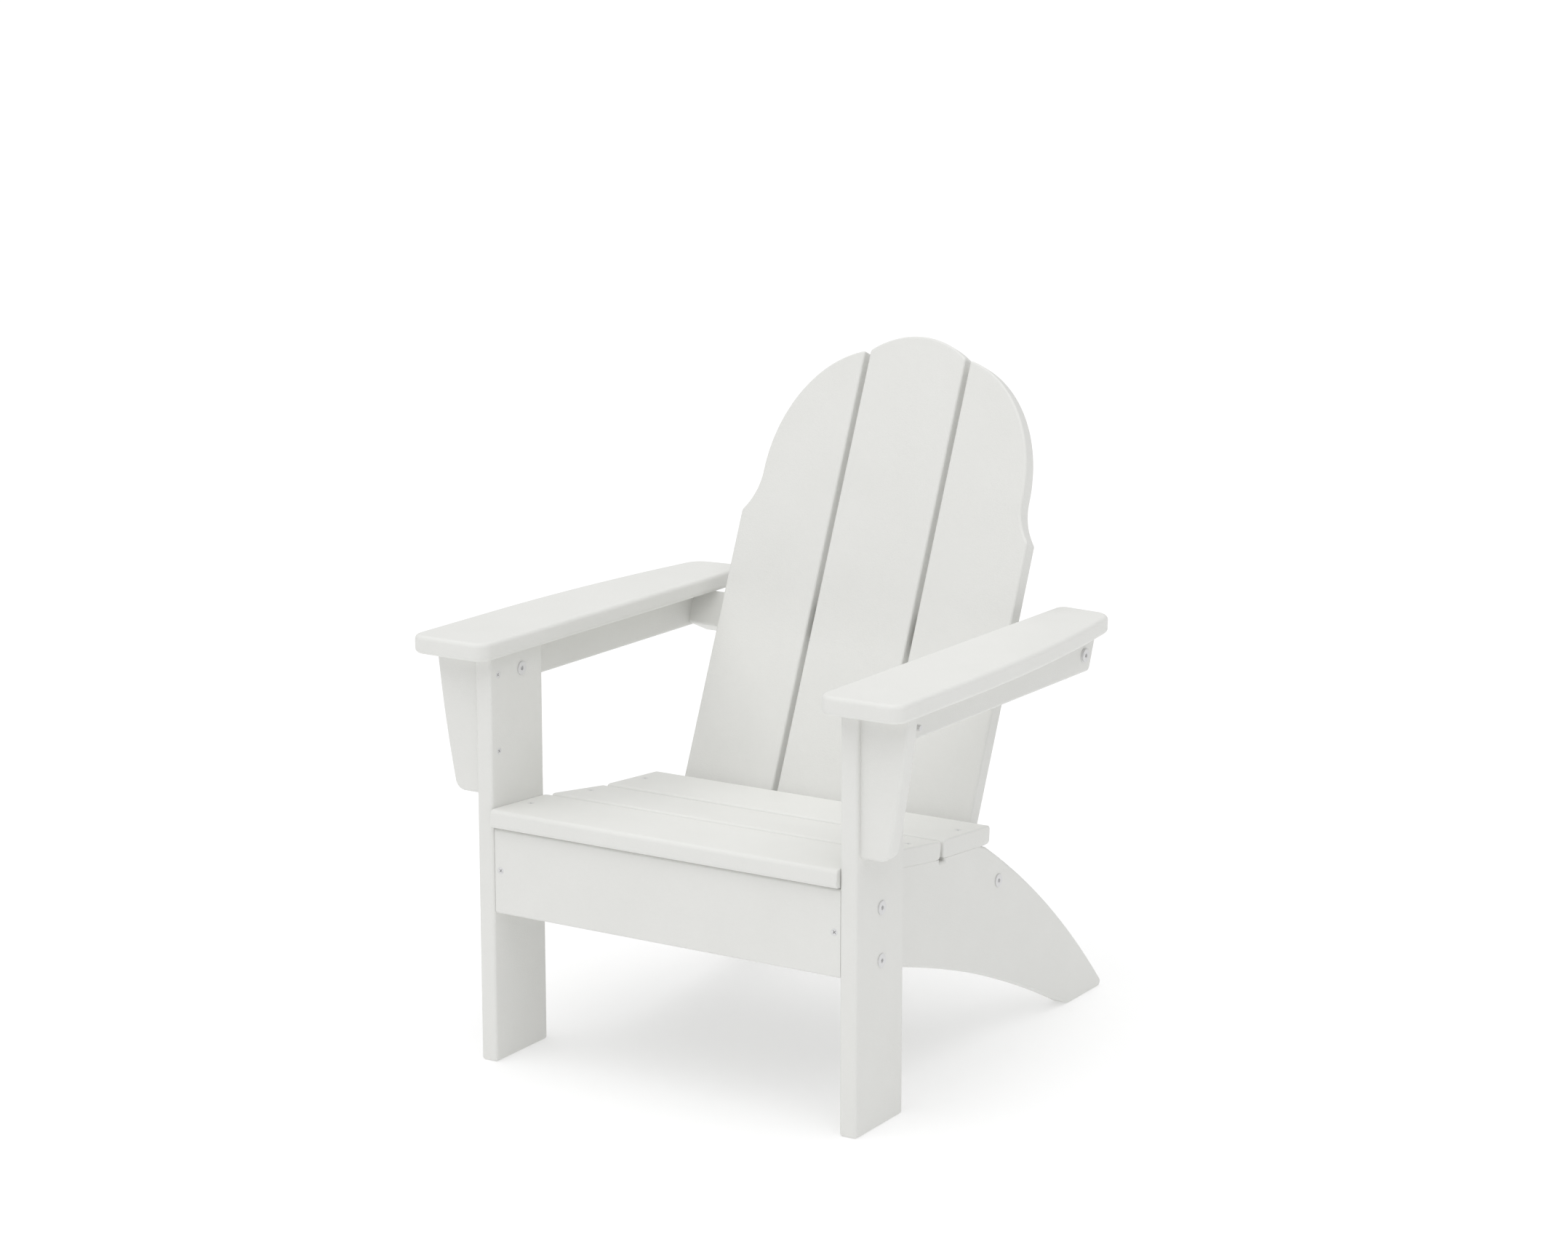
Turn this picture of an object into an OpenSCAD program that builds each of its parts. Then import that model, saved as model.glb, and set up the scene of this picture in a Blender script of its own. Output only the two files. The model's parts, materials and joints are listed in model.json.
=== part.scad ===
// Child-size Adirondack chair of plastic lumber boards, bolted and screwed together.
// Design frame: x = 0 on the centre line, y = 0 on the front of the legs, z = 0 on the floor.

/* [Boards] */
// Thickness of every board
board_t = 19; // [17:0.5:21]
// Width of the legs and the apron
board_w = 89; // [84:1:94]
// Clear width between the two front legs
inner_w = 406; // [380:2:440]

/* [Apron and stringers] */
// How far the apron is set back from the leg fronts
front_inset = 2; // [1:0.5:4]
// Height of the apron's lower edge
apron_z = 158; // [150:1:162]
// Play at each end of the apron and the seat slats
side_play = 0.3; // [0.2:0.1:2]
// How far the heels stand behind the leg fronts
heel_y = 549; // [530:1:570]
// Length of the flat foot under each stringer
foot_l = 70; // [60:1:80]
// Bulge of the stringer's upper rear edge above its chord
heel_bulge = 11.7; // [6:0.1:14]
// Bulge of the stringer's lower edge above its chord
belly_bulge = 15.8; // [8:0.2:20]

/* [Seat slats] */
// Depth of each seat slat
slat_w = [101, 96, 96]; // [90:1:102]
// Distance of each slat's upper front corner behind the leg fronts
slat_y = [-5.5, 101.5, 201.2]; // [-10:0.1:205]
// Height of each slat's upper front corner
slat_z = [268, 260.5, 247.4]; // [240:0.1:275]
// Backward slope of each slat, in degrees
slat_tilt = [3.8, 7.9, 4.6]; // [0:0.1:12]

/* [Back] */
// Angle of the back from the vertical, in degrees
recline = 23.2; // [20:0.1:26]
// Where the front plane of the back meets the floor, behind the leg fronts
back_y = 203.5; // [202:0.5:215]
// Width of the middle back slat
centre_slat_w = 116; // [100:1:120]
// Gap between back slats
back_gap = 6; // [4:0.5:10]
// Width over all three back slats
back_w = 348; // [330:1:352]
// Position of the lower end of the back slats, along the back
back_low = 180; // [176:1:184]
// Position of the shoulders of the outer back slats, along the back
shoulder = 551.5; // [530:0.5:560]
// Top of the middle back slat, along the back
back_top = 758.5; // [740:0.5:770]
// Radius of the arch on the middle back slat
centre_arch_r = 96; // [90:1:140]
// Half the height of the oval that rounds the outer back slats' heads
head_rise = 143; // [134:1:150]
// Half the width of that oval
head_half_w = 117; // [112:1:130]
// Radius of the hollows above the shoulders
hollow_r = 69; // [64:0.5:74]

/* [Arms] */
// Height of the underside of the arms at the leg fronts
arm_under = 423; // [410:0.2:430]
// Backward slope of the arms, in degrees
arm_slope = 0.75; // [0:0.05:1]
// Width of each arm at the front
arm_w = 92; // [88:0.5:96]
// How far each arm reaches over the inner side of its leg
arm_overlap = 11.5; // [5:0.5:14]
// How far the arms stand forward of the legs
arm_nose = 27.5; // [20:0.5:32]
// Length of each arm
arm_l = 488; // [470:1:500]
// Length of the straight stretch at the front of each arm's outer edge
arm_straight_l = 140; // [110:1:160]
// Radius of the bow that narrows each arm towards the rear
arm_bow_r = 2130; // [1900:10:2800]
// Radius of the arms' front corners
arm_corner_r = 16.5; // [8:0.5:20]
// Height of the rails under the arms
rail_h = 40; // [38:0.5:42]
// Thickness and height of the crossbar behind the back slats
bar_t = 38; // [36:0.5:40]

/* [Arm brackets] */
// How far the brackets are set back from the leg fronts
bracket_inset = 6; // [4:0.5:7]
// Height of the arm brackets
bracket_h = 144; // [130:0.5:150]
// Width of the brackets under the arm
bracket_top_w = 52.5; // [45:0.5:56]
// Width of the brackets near their lower end
bracket_low_w = 32.5; // [28:0.5:35]

/* [Fasteners] */
// Diameter of the bolts
bolt_d = 6; // [5:0.5:6]
// Diameter of the round bolt heads
bolt_head_d = 14; // [12:0.5:15]
// Thickness of the bolt heads
bolt_head_t = 1.4; // [1:0.1:3]
// Size of the hexagon sockets across their flats
socket_af = 4; // [3:0.5:4]
// Diameter of the countersunk screw heads
screw_head_d = 7.4; // [7:0.1:8]
// Diameter of the screw shanks
screw_d = 4; // [3.5:0.1:4.2]

/* [Hidden] */

$fn = 32;
hdpe = "#e9e9e5";
coated = "#f2f2f2";
steel = "#b9bcc0";

// Planes across the chair, on the +x side
leg_in = inner_w / 2;
leg_out = leg_in + board_t;
rail_out = leg_out + board_t;
stringer_in = leg_in - board_t;
stringer_mid = leg_in - board_t / 2;
rail_mid = leg_out + board_t / 2;

// The origin goes to the middle of the chair's length
origin_y = -(heel_y - arm_nose) / 2;

// Lengths along the chair
apron_rear = front_inset + board_t;
apron_h = board_w;
foot_y = heel_y - foot_l - 5;
heel_round = 5;
heel_lean = 43;

// Fastener places
leg_bolt_y = 46.4;
leg_bolt_z = [167.8, 220.8];
arm_bolt_y = 53;
arm_bolt_drop = 20.5;
crossbar_low = 424;
crossbar_bolt_s = 450.4;
brace_low = 186;
brace_h = 40;
brace_bolt_q = 32;
brace_bolt_s = brace_low + brace_h / 2 + 0.5;
bracket_screw_z = [324.4, 403];
apron_screw_z = 203.5;
bracket_screw_y = 13;
rail_front = bracket_inset + board_t + 0.5;
crossbar_bolt_q = 45.4;
arm_screw_y = [36, 180, 330];

// Fastener sizes
fit = 0.1;
washer_t = 1.2;
washer_d = 15;
nut_af = 10;
nut_t = 5;
leg_bolt_l = 50;
arm_bolt_l = 57;
end_bolt_l = 50;
barrel_d = 10;
barrel_back = 40;
crossbar_barrel_x = -47;
screw_sink = 0.2;
apron_screw_l = 45;
seat_screw_l = 40;
bracket_screw_l = 38;
crossbar_screw_l = 50;
brace_screw_l = 32;
arm_screw_l = 52;

// Corner i of a slat's section: its upper front corner, and directions along and across it
function slat_along(i) = [cos(slat_tilt[i]), -sin(slat_tilt[i])];
function slat_up(i) = [sin(slat_tilt[i]), cos(slat_tilt[i])];
function slat_front_low(i) = [slat_y[i], slat_z[i]] - board_t * slat_up(i);
function slat_rear_low(i) = slat_front_low(i) + slat_w[i] * slat_along(i);
function on_slat_under(i, y) = [y, slat_front_low(i)[1] - (y - slat_front_low(i)[0]) * tan(slat_tilt[i])];

// Relief in a stringer's upper edge below the gap behind slat i
function relief(i) =
  let (
    front = on_slat_under(i, slat_rear_low(i)[0] - 1),
    rear = on_slat_under(i + 1, slat_front_low(i + 1)[0] + 4),
    low = min(front[1], rear[1]) - 3
  )
  [front, [front[0], low], [rear[0], low], rear];

// Height of the arm's underside at a distance behind the leg fronts
function arm_z(y) = arm_under - y * tan(arm_slope);

// Points of a round stretch about a centre
function fan(c, r, a0, a1, n = 8) =
  [for (i = [0:n]) let (a = a0 + (a1 - a0) * i / n) c + r * [cos(a), sin(a)]];

// Point of an oval at an angle
function oval(half_w, rise, a) = [half_w * cos(a), rise * sin(a)];

// Points of the arc from a to b that stands `bulge` to the left of its chord
function bow(a, b, bulge, n = 24) =
  let (
    half = norm(b - a) / 2,
    r = (half * half + bulge * bulge) / (2 * bulge),
    along = (b - a) / (2 * half),
    left = [-along[1], along[0]],
    c = (a + b) / 2 + (bulge - r) * left,
    spread = asin(half / r)
  )
  [for (i = [0:n]) c + r * (sin(spread * (2 * i / n - 1)) * along + cos(spread * (2 * i / n - 1)) * left)];

// The chair in its own frame, with its origin under its middle
module placed() {
  translate([0, origin_y, 0])
    children();
}

// The same piece on the other side of the chair
module both_sides() {
  children();
  mirror([1, 0, 0])
    children();
}

// A flat piece drawn in (y, z) and t thick from x = x0
module slab_yz(x0, t) {
  translate([x0, 0, 0])
    rotate([90, 0, 90])
      linear_extrude(t)
        children();
}

// A flat piece drawn in (x, z) and t thick from y = y0
module slab_xz(y0, t) {
  translate([0, y0 + t, 0])
    rotate([90, 0, 0])
      linear_extrude(t)
        children();
}

// Frame of the back: y = 0 on its front plane, z along the slats
module back_frame() {
  translate([0, back_y, 0])
    rotate([-recline, 0, 0])
      children();
}

// Frame of the arms: z = 0 on their underside
module arm_frame() {
  translate([0, 0, arm_under])
    rotate([-arm_slope, 0, 0])
      children();
}

// Frame of a seat slat: y = 0 on its front edge, z = 0 on its upper face
module slat_frame(i) {
  translate([0, slat_y[i], slat_z[i]])
    rotate([-slat_tilt[i], 0, 0])
      children();
}

// A rod along +x
module rod_x(d, l) {
  rotate([0, 90, 0])
    cylinder(d = d, h = l);
}

// A bolt with its head's underside at the origin and its shank along -x
module bolt(l) {
  difference() {
    union() {
      rod_x(bolt_head_d, bolt_head_t);
      translate([-l, 0, 0])
        rod_x(bolt_d, l + 1);
    }
    translate([bolt_head_t - 2.6, 0, 0])
      rotate([0, 90, 0])
        cylinder(d = socket_af / cos(30), h = 4, $fn = 6);
  }
}

// A flat washer on the face x = 0
module washer() {
  difference() {
    rod_x(washer_d, washer_t);
    translate([-1, 0, 0])
      rod_x(bolt_d + 2 * fit, washer_t + 2);
  }
}

// A hexagon nut on the face x = 0
module nut() {
  difference() {
    rotate([0, 90, 0])
      cylinder(d = nut_af / cos(30), h = nut_t, $fn = 6);
    translate([-1, 0, 0])
      rod_x(bolt_d + 2 * fit, nut_t + 2);
  }
}

// A barrel nut across the back's boards, with its cross hole along x
module barrel_nut(l) {
  difference() {
    translate([0, l / 2, 0])
      rotate([90, 0, 0])
        cylinder(d = barrel_d, h = l);
    translate([-barrel_d, 0, 0])
      rod_x(bolt_d + 2 * fit, 2 * barrel_d);
  }
}

// A countersunk screw with its head's face at z = 0 and its point down
module screw(l) {
  difference() {
    union() {
      translate([0, 0, -2.2])
        cylinder(d1 = screw_d, d2 = screw_head_d, h = 2.2);
      translate([0, 0, 4 - l])
        cylinder(d = screw_d, h = l - 5);
      translate([0, 0, -l])
        cylinder(d1 = 0.8, d2 = screw_d, h = 4);
    }
    for (turn = [40, 130])
      rotate([0, 0, turn])
        translate([-2.1, -0.45, -1.5])
          cube([4.2, 0.9, 2]);
  }
}

// The hole that the screw needs, with its mouth a little above its head
module screw_hole(l) {
  translate([0, 0, -2.2])
    cylinder(d1 = screw_d + 2 * fit, d2 = screw_head_d + 2 * fit, h = 2.2 + fit);
  cylinder(d = screw_head_d + 2 * fit, h = screw_sink + 1);
  translate([0, 0, -l - fit])
    cylinder(d = screw_d + 2 * fit, h = l);
}

// Places of the fasteners on the +x side, each with its own frame
module at_leg_bolts() {
  for (z = leg_bolt_z)
    translate([leg_out, leg_bolt_y, z])
      children();
}

module at_arm_bolt() {
  translate([leg_in, arm_bolt_y, arm_z(arm_bolt_y) - arm_bolt_drop])
    mirror([1, 0, 0])
      children();
}

module at_crossbar_bolt() {
  back_frame()
    translate([rail_out, crossbar_bolt_q, crossbar_bolt_s])
      children();
}

module at_brace_bolt() {
  back_frame()
    translate([leg_in, brace_bolt_q, brace_bolt_s])
      children();
}

module at_apron_screw() {
  translate([stringer_mid + 2.3, front_inset + screw_sink, apron_screw_z])
    rotate([90, 0, 0])
      children();
}

module at_bracket_screws() {
  for (z = bracket_screw_z)
    translate([leg_in + screw_sink, bracket_screw_y, z])
      rotate([0, -90, 0])
        children();
}

module at_seat_screw(i) {
  slat_frame(i)
    translate([stringer_mid - 4, 52, -screw_sink])
      children();
}

module at_arm_screws() {
  arm_frame()
    for (y = arm_screw_y)
      translate([rail_mid, y, -rail_h + screw_sink])
        rotate([180, 0, 0])
          children();
}

// Screws through a bar at the back, two into each slat
module at_back_screws(s, depth) {
  inner = centre_slat_w / 2 + back_gap;
  side_w = back_w / 2 - inner;
  for (x = [centre_slat_w / 4, inner + side_w / 4, inner + side_w * 3 / 4])
    back_frame()
      translate([x, board_t + depth - screw_sink, s])
        rotate([-90, 0, 0])
          children();
}

// Front leg on the +x side, standing with its broad sides across the chair
module leg() {
  difference() {
    slab_yz(leg_in, board_t)
      polygon([[0, 0], [board_w, 0], [board_w, arm_z(board_w)], [0, arm_z(0)]]);
    at_leg_bolts()
      translate([-board_t - 1, 0, 0])
        rod_x(bolt_d + 2 * fit, board_t + 2);
    at_arm_bolt()
      translate([-board_t - 1, 0, 0])
        rod_x(bolt_d + 2 * fit, board_t + 2);
    at_bracket_screws()
      screw_hole(bracket_screw_l);
  }
}

// Seat stringer on the +x side, which runs down to the floor as the rear leg
module stringer() {
  slat_end = slat_rear_low(2);
  heel = [heel_y - heel_round, heel_round];
  difference() {
    slab_yz(stringer_in, board_t)
      polygon(concat(
        [on_slat_under(0, apron_rear)],
        relief(0),
        relief(1),
        [on_slat_under(2, slat_end[0] - 16)],
        bow(
          [slat_end[0] - 6, slat_end[1] - 2.5],
          heel + heel_round * [cos(heel_lean), sin(heel_lean)],
          heel_bulge
        ),
        fan(heel, heel_round, heel_lean, -90),
        bow([foot_y, 0], [apron_rear, apron_z + 3], -belly_bulge)
      ));
    at_leg_bolts()
      translate([-2 * board_t - 1, 0, 0])
        rod_x(bolt_d + 2 * fit, board_t + 2);
    at_brace_bolt()
      translate([-board_t - 1, 0, 0])
        rod_x(bolt_d + 2 * fit, board_t + 2);
    at_apron_screw()
      screw_hole(apron_screw_l);
    for (i = [0:2])
      at_seat_screw(i)
        screw_hole(seat_screw_l);
  }
}

// Board across the front, between the legs
module apron() {
  l = inner_w - 2 * side_play;
  difference() {
    translate([-l / 2, front_inset, apron_z])
      cube([l, board_t, apron_h]);
    both_sides()
      at_apron_screw()
        screw_hole(apron_screw_l);
  }
}

// One of the three boards of the seat
module seat_slat(i) {
  l = inner_w - 2 * side_play;
  difference() {
    slat_frame(i)
      translate([-l / 2, 0, -board_t])
        cube([l, slat_w[i], board_t]);
    both_sides()
      at_seat_screw(i)
        screw_hole(seat_screw_l);
  }
}

// Middle slat of the back, with its arched top
module centre_slat() {
  half = centre_slat_w / 2;
  side_angle = acos(half / centre_arch_r);
  difference() {
    back_frame()
      slab_xz(0, board_t)
        polygon(concat(
          [[-half, back_low], [half, back_low]],
          fan([0, back_top - centre_arch_r], centre_arch_r, side_angle, 180 - side_angle, 24)
        ));
    both_sides()
      back_screw_holes();
  }
}

// Outer slat of the back on the +x side: a rounded head, a hollow and a shoulder
module outer_slat() {
  inner = centre_slat_w / 2 + back_gap;
  outer = back_w / 2;
  head_x = outer - 16;
  head_s = shoulder + 46;
  top_angle = acos((inner - head_x + head_half_w) / head_half_w);
  hollow_angle = acos((head_x + hollow_r - outer) / hollow_r);
  hollow_s = shoulder + hollow_r * sin(hollow_angle);
  difference() {
    back_frame()
      slab_xz(0, board_t)
        polygon(concat(
          [[inner, back_low], [outer, back_low]],
          fan([head_x + hollow_r, hollow_s], hollow_r, 180 + hollow_angle, 180, 12),
          [for (i = [0:32]) [head_x - head_half_w, head_s] + oval(head_half_w, head_rise, top_angle * i / 32)]
        ));
    back_screw_holes();
  }
}

// The holes that the screws through both back bars make on the +x side
module back_screw_holes() {
  at_back_screws(crossbar_low + bar_t / 2, bar_t)
    screw_hole(crossbar_screw_l);
  at_back_screws(brace_bolt_s, board_t)
    screw_hole(brace_screw_l);
}

// The bore for a bolt that goes through one board into the end of a bar
module end_bolt_bore() {
  l = end_bolt_l + 2;
  translate([-l, 0, 0])
    rod_x(bolt_d + 2 * fit, l - board_t + 1);
}

// Square bar behind the back slats, between the arm rails
module crossbar() {
  difference() {
    back_frame()
      translate([-leg_out, board_t, crossbar_low])
        cube([2 * leg_out, bar_t, bar_t]);
    both_sides() {
      back_screw_holes();
      at_crossbar_bolt() {
        end_bolt_bore();
        translate([crossbar_barrel_x, 0, 0])
          rotate([-90, 0, 0])
            translate([0, 0, -13])
              cylinder(d = barrel_d + 2 * fit, h = 60);
      }
    }
  }
}

// Board behind the lower ends of the back slats, between the stringers
module back_brace() {
  difference() {
    back_frame()
      translate([-stringer_in, board_t, brace_low])
        cube([2 * stringer_in, board_t, brace_h]);
    both_sides() {
      back_screw_holes();
      at_brace_bolt() {
        end_bolt_bore();
        translate([-barrel_back, 0, 0])
          rotate([-90, 0, 0])
            translate([0, 0, -7])
              cylinder(d = barrel_d + 2 * fit, h = 40);
      }
    }
  }
}

// Arm on the +x side: straight inside, bowed outside, narrower at the rear
module arm() {
  x0 = leg_in - arm_overlap;
  x1 = x0 + arm_w;
  y0 = -arm_nose;
  y1 = y0 + arm_l;
  r = arm_corner_r;
  inner_r = 12;
  outer_r = 23;
  rear_slope = 15.2;
  bow_c = [x1 - arm_bow_r, arm_straight_l - arm_nose];
  bow_angle = asin((y1 - outer_r - bow_c[1]) / arm_bow_r);
  outer_c = bow_c + (arm_bow_r - outer_r) * [cos(bow_angle), sin(bow_angle)];
  difference() {
    arm_frame()
      linear_extrude(board_t)
        polygon(concat(
          fan([x0 + r, y0 + r], r, 180, 270),
          fan([x1 - r, y0 + r], r, 270, 360),
          fan(bow_c, arm_bow_r, 0, bow_angle, 24),
          fan(outer_c, outer_r, bow_angle, 90 - rear_slope),
          fan([x0 + inner_r, y1 - inner_r], inner_r, 90 - rear_slope, 180)
        ));
    at_arm_screws()
      screw_hole(arm_screw_l);
  }
}

// Rail under the arm on the +x side, outside the leg
module rail() {
  top_y = heel_y - 98.5;
  slope = 20.5;
  r = 6;
  corner_y = top_y - (r + (rail_h - r) * sin(slope)) / cos(slope);
  difference() {
    arm_frame()
      slab_yz(leg_out, board_t)
        polygon(concat(
          [[rail_front, 0], [rail_front, -rail_h]],
          fan([corner_y, -rail_h + r], r, -90, -slope),
          [[top_y, 0]]
        ));
    at_arm_bolt()
      translate([-2 * board_t - 1, 0, 0])
        rod_x(bolt_d + 2 * fit, board_t + 2);
    at_crossbar_bolt()
      translate([-board_t - 1, 0, 0])
        rod_x(bolt_d + 2 * fit, board_t + 2);
    at_arm_screws()
      screw_hole(arm_screw_l);
  }
}

// Tapered bracket under the arm on the +x side, against the leg's outer side
module bracket() {
  low_z = arm_under - bracket_h;
  over = 5;
  r = 12;
  lean = 12;
  corner = [leg_out + bracket_low_w - r, low_z + r];
  difference() {
    slab_xz(bracket_inset, board_t)
      polygon(concat(
        [[leg_out, arm_under + over], [leg_out, low_z]],
        fan(corner, r, -90, -lean),
        bow(corner + r * [cos(lean), -sin(lean)], [leg_out + bracket_top_w, arm_under + over], -1.8)
      ));
    arm_frame()
      translate([leg_out - 20, -20, 0])
        cube([100, 100, 20]);
    at_bracket_screws()
      screw_hole(bracket_screw_l);
  }
}

module front_leg_left() { color(hdpe) placed() leg(); }
module front_leg_right() { color(hdpe) placed() mirror([1, 0, 0]) leg(); }
module side_stringer_left() { color(hdpe) placed() stringer(); }
module side_stringer_right() { color(hdpe) placed() mirror([1, 0, 0]) stringer(); }
module front_apron() { color(hdpe) placed() apron(); }
module seat_slat_front() { color(hdpe) placed() seat_slat(0); }
module seat_slat_middle() { color(hdpe) placed() seat_slat(1); }
module seat_slat_rear() { color(hdpe) placed() seat_slat(2); }
module back_slat_left() { color(hdpe) placed() outer_slat(); }
module back_slat_centre() { color(hdpe) placed() centre_slat(); }
module back_slat_right() { color(hdpe) placed() mirror([1, 0, 0]) outer_slat(); }
module upper_crossbar() { color(hdpe) placed() crossbar(); }
module lower_back_brace() { color(hdpe) placed() back_brace(); }
module arm_left() { color(hdpe) placed() arm(); }
module arm_right() { color(hdpe) placed() mirror([1, 0, 0]) arm(); }
module arm_rail_left() { color(hdpe) placed() rail(); }
module arm_rail_right() { color(hdpe) placed() mirror([1, 0, 0]) rail(); }
module arm_bracket_left() { color(hdpe) placed() bracket(); }
module arm_bracket_right() { color(hdpe) placed() mirror([1, 0, 0]) bracket(); }

module leg_bolts() {
  color(coated) placed() both_sides() at_leg_bolts() bolt(leg_bolt_l);
}

module leg_bolt_washers() {
  color(steel) placed() both_sides() at_leg_bolts()
    translate([-2 * board_t - washer_t, 0, 0]) washer();
}

module leg_bolt_nuts() {
  color(steel) placed() both_sides() at_leg_bolts()
    translate([-2 * board_t - washer_t - nut_t, 0, 0]) nut();
}

module arm_bolts() {
  color(coated) placed() both_sides() at_arm_bolt() bolt(arm_bolt_l);
}

module arm_bolt_washers() {
  color(steel) placed() both_sides() at_arm_bolt()
    translate([-2 * board_t - washer_t, 0, 0]) washer();
}

module arm_bolt_nuts() {
  color(steel) placed() both_sides() at_arm_bolt()
    translate([-2 * board_t - washer_t - nut_t, 0, 0]) nut();
}

module crossbar_bolts() {
  color(coated) placed() both_sides() at_crossbar_bolt()
    translate([washer_t, 0, 0]) bolt(end_bolt_l + washer_t);
}

module crossbar_washers() {
  color(coated) placed() both_sides() at_crossbar_bolt() washer();
}

module crossbar_barrel_nuts() {
  color(steel) placed() both_sides() at_crossbar_bolt()
    translate([crossbar_barrel_x, 0, 0]) barrel_nut(22);
}

module brace_bolts() {
  color(coated) placed() both_sides() at_brace_bolt() bolt(end_bolt_l);
}

module brace_barrel_nuts() {
  color(steel) placed() both_sides() at_brace_bolt()
    translate([-barrel_back, 0, 0]) barrel_nut(11);
}

module apron_screws() {
  color(coated) placed() both_sides() at_apron_screw() screw(apron_screw_l);
}

module bracket_screws() {
  color(coated) placed() both_sides() at_bracket_screws() screw(bracket_screw_l);
}

module seat_screws() {
  color(coated) placed() both_sides() for (i = [0:2]) at_seat_screw(i) screw(seat_screw_l);
}

module crossbar_screws() {
  color(coated) placed() both_sides() at_back_screws(crossbar_low + bar_t / 2, bar_t) screw(crossbar_screw_l);
}

module brace_screws() {
  color(coated) placed() both_sides() at_back_screws(brace_bolt_s, board_t) screw(brace_screw_l);
}

module arm_screws() {
  color(coated) placed() both_sides() at_arm_screws() screw(arm_screw_l);
}

front_leg_left();
front_leg_right();
side_stringer_left();
side_stringer_right();
front_apron();
seat_slat_front();
seat_slat_middle();
seat_slat_rear();
back_slat_left();
back_slat_centre();
back_slat_right();
upper_crossbar();
lower_back_brace();
arm_left();
arm_right();
arm_rail_left();
arm_rail_right();
arm_bracket_left();
arm_bracket_right();
leg_bolts();
leg_bolt_washers();
leg_bolt_nuts();
arm_bolts();
arm_bolt_washers();
arm_bolt_nuts();
crossbar_bolts();
crossbar_washers();
crossbar_barrel_nuts();
brace_bolts();
brace_barrel_nuts();
apron_screws();
bracket_screws();
seat_screws();
crossbar_screws();
brace_screws();
arm_screws();
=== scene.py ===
"""Child-size Adirondack chair of white plastic lumber: softened boards, hardware and a plain studio.

Metres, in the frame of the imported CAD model: +X to the sitter's left, +Y to the rear, +Z up.
"""

import json
import math

import bmesh
import bpy
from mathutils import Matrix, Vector
from mathutils.bvhtree import BVHTree


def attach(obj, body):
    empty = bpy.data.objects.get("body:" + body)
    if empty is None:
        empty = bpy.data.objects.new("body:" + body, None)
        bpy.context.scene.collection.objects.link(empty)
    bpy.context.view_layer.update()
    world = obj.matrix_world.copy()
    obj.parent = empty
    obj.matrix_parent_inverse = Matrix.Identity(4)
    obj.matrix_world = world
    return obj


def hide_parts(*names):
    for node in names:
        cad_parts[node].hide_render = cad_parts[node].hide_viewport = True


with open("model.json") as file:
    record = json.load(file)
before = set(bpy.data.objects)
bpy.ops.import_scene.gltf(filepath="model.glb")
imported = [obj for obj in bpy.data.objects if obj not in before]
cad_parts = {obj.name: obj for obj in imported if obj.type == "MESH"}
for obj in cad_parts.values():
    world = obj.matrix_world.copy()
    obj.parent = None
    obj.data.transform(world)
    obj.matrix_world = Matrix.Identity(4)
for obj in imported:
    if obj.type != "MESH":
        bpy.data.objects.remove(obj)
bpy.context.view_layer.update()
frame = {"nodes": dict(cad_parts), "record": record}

# ---------------------------------------------------------------- boards and their edges

# Directions in which the boards were extruded, for their faint grain
ACROSS = Vector((1, 0, 0))
ALONG = Vector((0, 1, -0.011))
UPRIGHT = Vector((0, 0, 1))
RECLINED = Vector((0, 0.394, 0.919))
SLOPING = Vector((0, 0.86, -0.51))

# Every board: the radius of its rounded edges, and the direction of its grain
BOARDS = {
    "front_leg_left": (0.0030, UPRIGHT),
    "front_leg_right": (0.0030, UPRIGHT),
    "side_stringer_left": (0.0030, SLOPING),
    "side_stringer_right": (0.0030, SLOPING),
    "front_apron": (0.0030, ACROSS),
    "seat_slat_front": (0.0050, ACROSS),
    "seat_slat_middle": (0.0042, ACROSS),
    "seat_slat_rear": (0.0042, ACROSS),
    "back_slat_left": (0.0026, RECLINED),
    "back_slat_centre": (0.0026, RECLINED),
    "back_slat_right": (0.0026, RECLINED),
    "upper_crossbar": (0.0030, ACROSS),
    "lower_back_brace": (0.0030, ACROSS),
    "arm_left": (0.0050, ALONG),
    "arm_right": (0.0050, ALONG),
    "arm_rail_left": (0.0030, ALONG),
    "arm_rail_right": (0.0030, ALONG),
    "arm_bracket_left": (0.0034, UPRIGHT),
    "arm_bracket_right": (0.0034, UPRIGHT),
}
# Boards sawn across after their long edges were rounded: the smaller radius at their ends
SAWN_ENDS = {"seat_slat_front": 0.0016, "seat_slat_middle": 0.0016, "seat_slat_rear": 0.0016}
# Boards of which only the edges under some others count as lying against a board
SLATS = ("seat_slat_front", "seat_slat_middle", "seat_slat_rear")
UNDER = {"side_stringer_left": SLATS, "side_stringer_right": SLATS}
# Bolts whose heads have a rounded rim, and its radius
BOLTS = ("leg_bolts", "arm_bolts", "crossbar_bolts", "crossbar_washers", "brace_bolts")
RIM = 0.0006

BEVEL_STEPS = 5
# An edge turns by more than SHARP, and shading runs on over it up to SMOOTH
SHARP = math.radians(20)
SMOOTH = math.radians(32)
# Faces nearer to one plane than this are made into one
FLAT = math.radians(0.1)
# Vertices within WELD are one vertex, and a cut goes through a vertex within NEAR_CUT
WELD = 2e-6
NEAR_CUT = 2e-5
# The rim of a bore is smaller than this
BORE_SIZE = 0.025
# Boards within TOUCHING lie against each other, and an edge within ON_LINE of a line is on it
TOUCHING = 0.0006
ON_LINE = 1e-5


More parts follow.
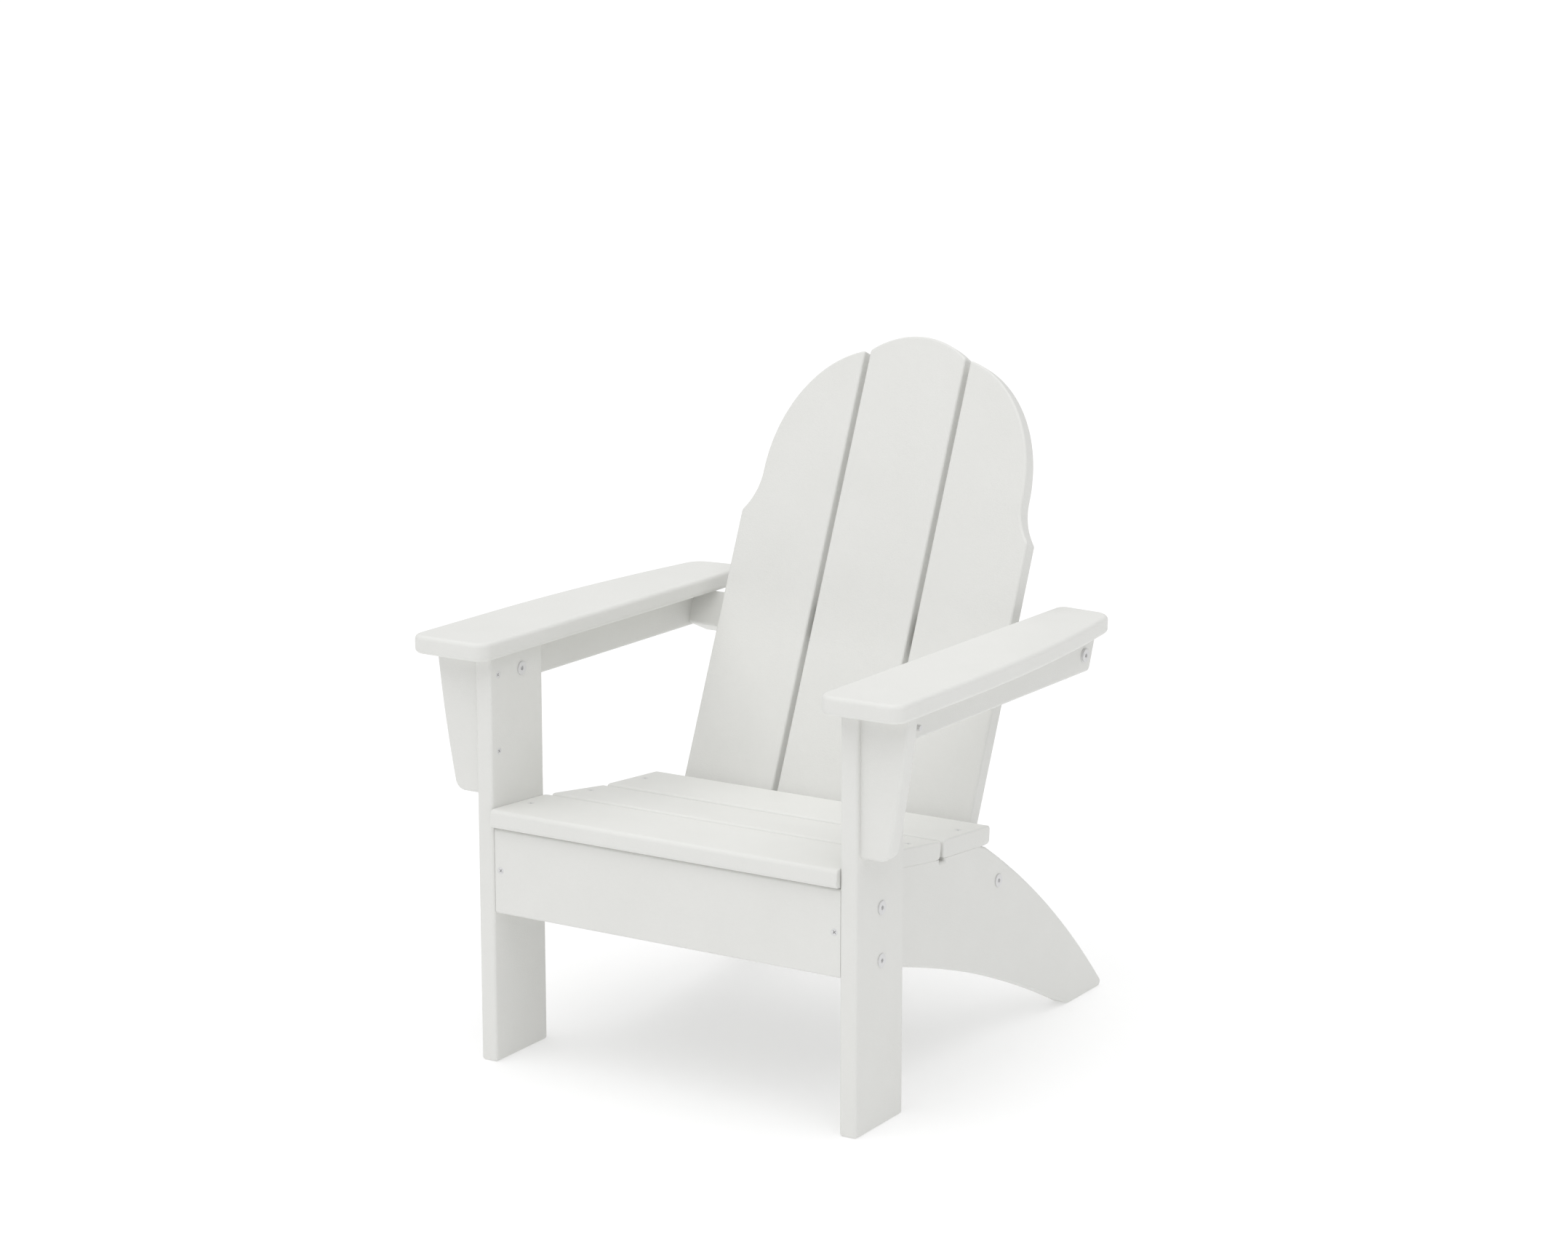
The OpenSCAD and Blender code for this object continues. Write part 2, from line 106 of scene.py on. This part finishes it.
def edge_groups(edges):
    """The edges in groups, each of edges that hang together, in the same order each run."""
    left = dict.fromkeys(edges)
    groups = []
    while left:
        group = []
        todo = [left.popitem()[0]]
        while todo:
            edge = todo.pop()
            group.append(edge)
            for near in (e for v in edge.verts for e in v.link_edges if e in left):
                del left[near]
                todo.append(near)
        groups.append(group)
    return groups


def spread(edges):
    """Diagonal of the box round some edges."""
    points = [v.co for e in edges for v in e.verts]
    low = Vector([min(p[i] for p in points) for i in range(3)])
    high = Vector([max(p[i] for p in points) for i in range(3)])
    return (high - low).length


def tree_of(node):
    """The surface of a CAD board, for finding what lies near it."""
    mesh = frame["nodes"][node].data
    return BVHTree.FromPolygons([v.co for v in mesh.vertices], [p.vertices for p in mesh.polygons])


TREES = {node: tree_of(node) for node in BOARDS}


def lies_against(edge, node):
    """Whether an edge of a board runs on another board for most of its length."""
    a, b = (v.co for v in edge.verts)
    points = [a.lerp(b, part) for part in (0.1, 0.3, 0.5, 0.7, 0.9)]
    others = [TREES[name] for name in UNDER.get(node, BOARDS) if name != node]
    near = [p for p in points if any(tree.find_nearest(p, TOUCHING)[0] is not None for tree in others)]
    return len(near) > len(points) / 2


def bevelled(bm, edges, radius):
    """Round some edges."""
    bmesh.ops.bevel(
        bm,
        geom=edges,
        offset=radius,
        offset_type="OFFSET",
        segments=BEVEL_STEPS,
        profile=0.5,
        affect="EDGES",
        clamp_overlap=False,
    )


def sharp_edges(bm):
    """The convex edges at which the surface turns."""
    return [e for e in bm.edges if len(e.link_faces) == 2 and e.is_convex and e.calc_face_angle() > SHARP]


def bore_centres(bm):
    """The middles of the rims of the bores."""
    rims = [group for group in edge_groups(sharp_edges(bm)) if spread(group) <= BORE_SIZE]
    middles = []
    for rim in rims:
        points = dict.fromkeys(v for e in rim for v in e.verts)
        middles.append(sum((v.co for v in points), Vector()) / len(points))
    return middles


def cleaned(node, grain=None):
    """A copy of a CAD mesh with its flat faces whole, apart from a cut across the grain at each bore."""
    bm = bmesh.new()
    bm.from_mesh(frame["nodes"][node].data)
    bmesh.ops.remove_doubles(bm, verts=bm.verts, dist=WELD)
    if grain is not None:
        for centre in bore_centres(bm):
            whole = bm.verts[:] + bm.edges[:] + bm.faces[:]
            cut = bmesh.ops.bisect_plane(bm, geom=whole, dist=NEAR_CUT, plane_co=centre, plane_no=grain)
            for edge in cut["geom_cut"]:
                if isinstance(edge, bmesh.types.BMEdge):
                    edge.seam = True
    bmesh.ops.dissolve_limit(bm, angle_limit=FLAT, verts=bm.verts, edges=bm.edges, delimit={"SEAM"})
    return bm


def finished(bm, node):
    """The rounded copy as an object that stands in for its CAD node."""
    mesh = bpy.data.meshes.new(node + "_soft")
    bm.to_mesh(mesh)
    bm.free()
    mesh.shade_smooth()
    for edge in mesh.edges:
        edge.use_seam = False
    mesh.set_sharp_from_angle(angle=SMOOTH)
    piece = bpy.data.objects.new(node + "_soft", mesh)
    bpy.context.scene.collection.objects.link(piece)
    normals = piece.modifiers.new("flat_faces_stay_flat", "WEIGHTED_NORMAL")
    normals.mode = "FACE_AREA"
    normals.keep_sharp = True
    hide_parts(node)
    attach(piece, "root")
    return piece


def on_any(edge, lines):
    """Whether an edge runs along one of some lines."""
    middle = (edge.verts[0].co + edge.verts[1].co) / 2
    for a, b in lines:
        way = (b - a).normalized()
        offset = middle - a
        if (offset - way * offset.dot(way)).length < ON_LINE:
            return True
    return False


def outer_edges(bm):
    """The sharp edges of a board but for the rims of its bores."""
    return [e for group in edge_groups(sharp_edges(bm)) if spread(group) > BORE_SIZE for e in group]


def runs_along(edge, way):
    """Whether an edge is parallel to a direction."""
    return abs((edge.verts[1].co - edge.verts[0].co).normalized().dot(way)) > 0.99


def softened(node, radius, grain):
    """A board with its free outer edges rounded. Bores and edges against other boards stay sharp."""
    bm = cleaned(node, grain)
    outer = outer_edges(bm)
    free = [e for e in outer if not lies_against(e, node)]
    if node in SAWN_ENDS:
        tight = [[v.co.copy() for v in e.verts] for e in outer if e not in free]
        bevelled(bm, [e for e in free if runs_along(e, grain)], radius)
        bevelled(bm, [e for e in outer_edges(bm) if not on_any(e, tight)], SAWN_ENDS[node])
    else:
        bevelled(bm, free, radius)
    return finished(bm, node)


def rimmed(node):
    """A bolt or washer with its outer edges slightly rounded."""
    bm = cleaned(node)
    bevelled(bm, sharp_edges(bm), RIM)
    return finished(bm, node)


# ---------------------------------------------------------------- materials


def new_material(name, roughness, metallic=0.0):
    """A material with a Principled shader, and its node tree and shader."""
    material = bpy.data.materials.new(name)
    material.use_nodes = True
    tree = material.node_tree
    shader = tree.nodes["Principled BSDF"]
    shader.inputs["Roughness"].default_value = roughness
    shader.inputs["Metallic"].default_value = metallic
    return material, tree, shader


def add(tree, kind, **values):
    """A new node, with some of its input sockets set by name."""
    node = tree.nodes.new(kind)
    for name, value in values.items():
        node.inputs[name.replace("_", " ")].default_value = value
    return node


def noise(tree, vector, scale, detail, roughness):
    """The grey output of a noise texture."""
    node = add(tree, "ShaderNodeTexNoise", Scale=scale, Detail=detail, Roughness=roughness)
    tree.links.new(vector, node.inputs["Vector"])
    return node.outputs["Fac"]


def spread_to(tree, value, low, high):
    """A noise, which mostly lies from 0.3 to 0.7, spread to the range from low to high."""
    node = add(tree, "ShaderNodeMapRange", From_Min=0.3, From_Max=0.7, To_Min=low, To_Max=high)
    tree.links.new(value, node.inputs["Value"])
    return node.outputs["Result"]


def tinted(tree, value, dark, light):
    """A colour from dark to light as the value goes from 0 to 1."""
    node = tree.nodes.new("ShaderNodeMix")
    node.data_type = "RGBA"
    tree.links.new(value, node.inputs["Factor"])
    node.inputs["A"].default_value = (*dark, 1)
    node.inputs["B"].default_value = (*light, 1)
    return node.outputs["Result"]


def bumped(tree, shader, height, distance, under=None):
    """Bump from a height, on top of another bump if there is one."""
    node = add(tree, "ShaderNodeBump", Strength=1.0, Distance=distance)
    tree.links.new(height, node.inputs["Height"])
    if under is not None:
        tree.links.new(under, node.inputs["Normal"])
    tree.links.new(node.outputs["Normal"], shader.inputs["Normal"])
    return node.outputs["Normal"]


def lumber(name, grain):
    """Matte white plastic lumber: a fine pebbled skin and faint streaks along the board."""
    material, tree, shader = new_material(name, roughness=0.5)
    shader.inputs["Specular IOR Level"].default_value = 0.35
    place = tree.nodes.new("ShaderNodeTexCoord").outputs["Object"]
    streaks = tree.nodes.new("ShaderNodeMapping")
    streaks.vector_type = "TEXTURE"
    streaks.inputs["Rotation"].default_value = grain.to_track_quat("X", "Z").to_euler()
    streaks.inputs["Scale"].default_value = (30.0, 1.0, 1.0)
    tree.links.new(place, streaks.inputs["Vector"])
    pebbles = noise(tree, place, 700.0, 2.0, 0.6)
    cloud = noise(tree, place, 14.0, 3.0, 0.55)
    streak = noise(tree, streaks.outputs["Vector"], 500.0, 2.0, 0.5)
    shade = spread_to(tree, cloud, 0.0, 1.0)
    colour = tinted(tree, shade, (0.774, 0.775, 0.751), (0.790, 0.791, 0.768))
    tree.links.new(colour, shader.inputs["Base Color"])
    tree.links.new(spread_to(tree, pebbles, 0.46, 0.60), shader.inputs["Roughness"])
    first = bumped(tree, shader, streak, 0.00006)
    bumped(tree, shader, pebbles, 0.0002, under=first)
    return material


def coated(name):
    """White powder-coated steel, a little smoother and greyer than the boards."""
    material, tree, shader = new_material(name, roughness=0.38)
    place = tree.nodes.new("ShaderNodeTexCoord").outputs["Object"]
    peel = noise(tree, place, 1400.0, 2.0, 0.5)
    cloud = noise(tree, place, 220.0, 2.0, 0.5)
    shade = spread_to(tree, cloud, 0.0, 1.0)
    colour = tinted(tree, shade, (0.715, 0.715, 0.715), (0.745, 0.745, 0.745))
    tree.links.new(colour, shader.inputs["Base Color"])
    tree.links.new(spread_to(tree, peel, 0.32, 0.44), shader.inputs["Roughness"])
    bumped(tree, shader, peel, 0.00004)
    return material


def bare_steel(name):
    """Stainless steel with fine turning marks."""
    material, tree, shader = new_material(name, roughness=0.3, metallic=1.0)
    place = tree.nodes.new("ShaderNodeTexCoord").outputs["Object"]
    marks = noise(tree, place, 1800.0, 2.0, 0.6)
    cloud = noise(tree, place, 260.0, 2.0, 0.5)
    shade = spread_to(tree, cloud, 0.0, 1.0)
    colour = tinted(tree, shade, (0.52, 0.52, 0.53), (0.62, 0.62, 0.62))
    tree.links.new(colour, shader.inputs["Base Color"])
    tree.links.new(spread_to(tree, marks, 0.24, 0.42), shader.inputs["Roughness"])
    bumped(tree, shader, marks, 0.00003)
    return material


def paint(obj, material):
    """The material on the whole of an object."""
    obj.data.materials.clear()
    obj.data.materials.append(material)


GRAINS = {
    "lumber_across": ACROSS,
    "lumber_along": ALONG,
    "lumber_upright": UPRIGHT,
    "lumber_reclined": RECLINED,
    "lumber_sloping": SLOPING,
}
LUMBERS = {name: lumber(name, grain) for name, grain in GRAINS.items()}
HARDWARE = {
    "coated_hardware": coated("white_coated_steel"),
    "bare_hardware": bare_steel("stainless_steel"),
}


def lumber_for(grain):
    """The lumber material whose grain runs that way."""
    return next(LUMBERS[name] for name, way in GRAINS.items() if way is grain)


# ---------------------------------------------------------------- the chair

for node, (radius, grain) in BOARDS.items():
    board = softened(node, radius, grain)
    paint(board, lumber_for(grain))

for part in frame["record"]["subparts"]:
    if part["node"] in BOLTS:
        bolt = rimmed(part["node"])
        paint(bolt, HARDWARE[part["material_slot"]])
    elif part["material_slot"] in HARDWARE:
        paint(frame["nodes"][part["node"]], HARDWARE[part["material_slot"]])

# ---------------------------------------------------------------- studio


def backlit_white(name, grey, glow):
    """A matt white that also glows a little, as a backlit studio sweep does."""
    material, _, shader = new_material(name, roughness=0.9)
    shader.inputs["Base Color"].default_value = (grey, grey, grey, 1)
    shader.inputs["Specular IOR Level"].default_value = 0.0
    shader.inputs["Emission Color"].default_value = (1, 1, 1, 1)
    shader.inputs["Emission Strength"].default_value = glow
    return material


def floor(size):
    """A pale floor at z = 0."""
    mesh = bpy.data.meshes.new("floor")
    half = size / 2
    corners = [(-half, -half, 0), (half, -half, 0), (half, half, 0), (-half, half, 0)]
    mesh.from_pydata(corners, [], [(0, 1, 2, 3)])
    obj = bpy.data.objects.new("floor", mesh)
    bpy.context.scene.collection.objects.link(obj)
    paint(obj, backlit_white("pale_floor", 0.68, 0.36))


def sky(strength):
    """An even white surround."""
    world = bpy.data.worlds.new("surround")
    world.use_nodes = True
    background = world.node_tree.nodes["Background"]
    background.inputs["Color"].default_value = (1, 1, 1, 1)
    background.inputs["Strength"].default_value = strength
    bpy.context.scene.world = world


def soft_sun(name, towards, strength, width):
    """Light as even as a large softbox's: towards points at it, and width is its angle in degrees."""
    data = bpy.data.lights.new(name, "SUN")
    data.energy = strength
    data.angle = math.radians(width)
    obj = bpy.data.objects.new(name, data)
    obj.rotation_euler = Vector(towards).to_track_quat("Z", "Y").to_euler()
    bpy.context.scene.collection.objects.link(obj)


floor(80)
sky(0.46)
soft_sun("front_softbox", (0, -0.32, 0.95), 1.18, 80)
soft_sun("ceiling_softbox", (0, 0, 1), 0.80, 120)

# ---------------------------------------------------------------- camera

LENS = 88.13
CAMERA_PLACE = Vector((2.00242, -3.25947, 1.29928))
CAMERA_WAY = Vector((-0.51428, 0.82835, -0.22214))

camera_data = bpy.data.cameras.new("camera")
camera_data.sensor_width = 36
camera_data.sensor_fit = "HORIZONTAL"
camera_data.lens = LENS
camera_data.clip_end = 200
camera = bpy.data.objects.new("camera", camera_data)
camera.location = CAMERA_PLACE
camera.rotation_euler = CAMERA_WAY.to_track_quat("-Z", "Y").to_euler()
bpy.context.scene.collection.objects.link(camera)
bpy.context.scene.camera = camera

bpy.context.scene.view_settings.view_transform = "Standard"
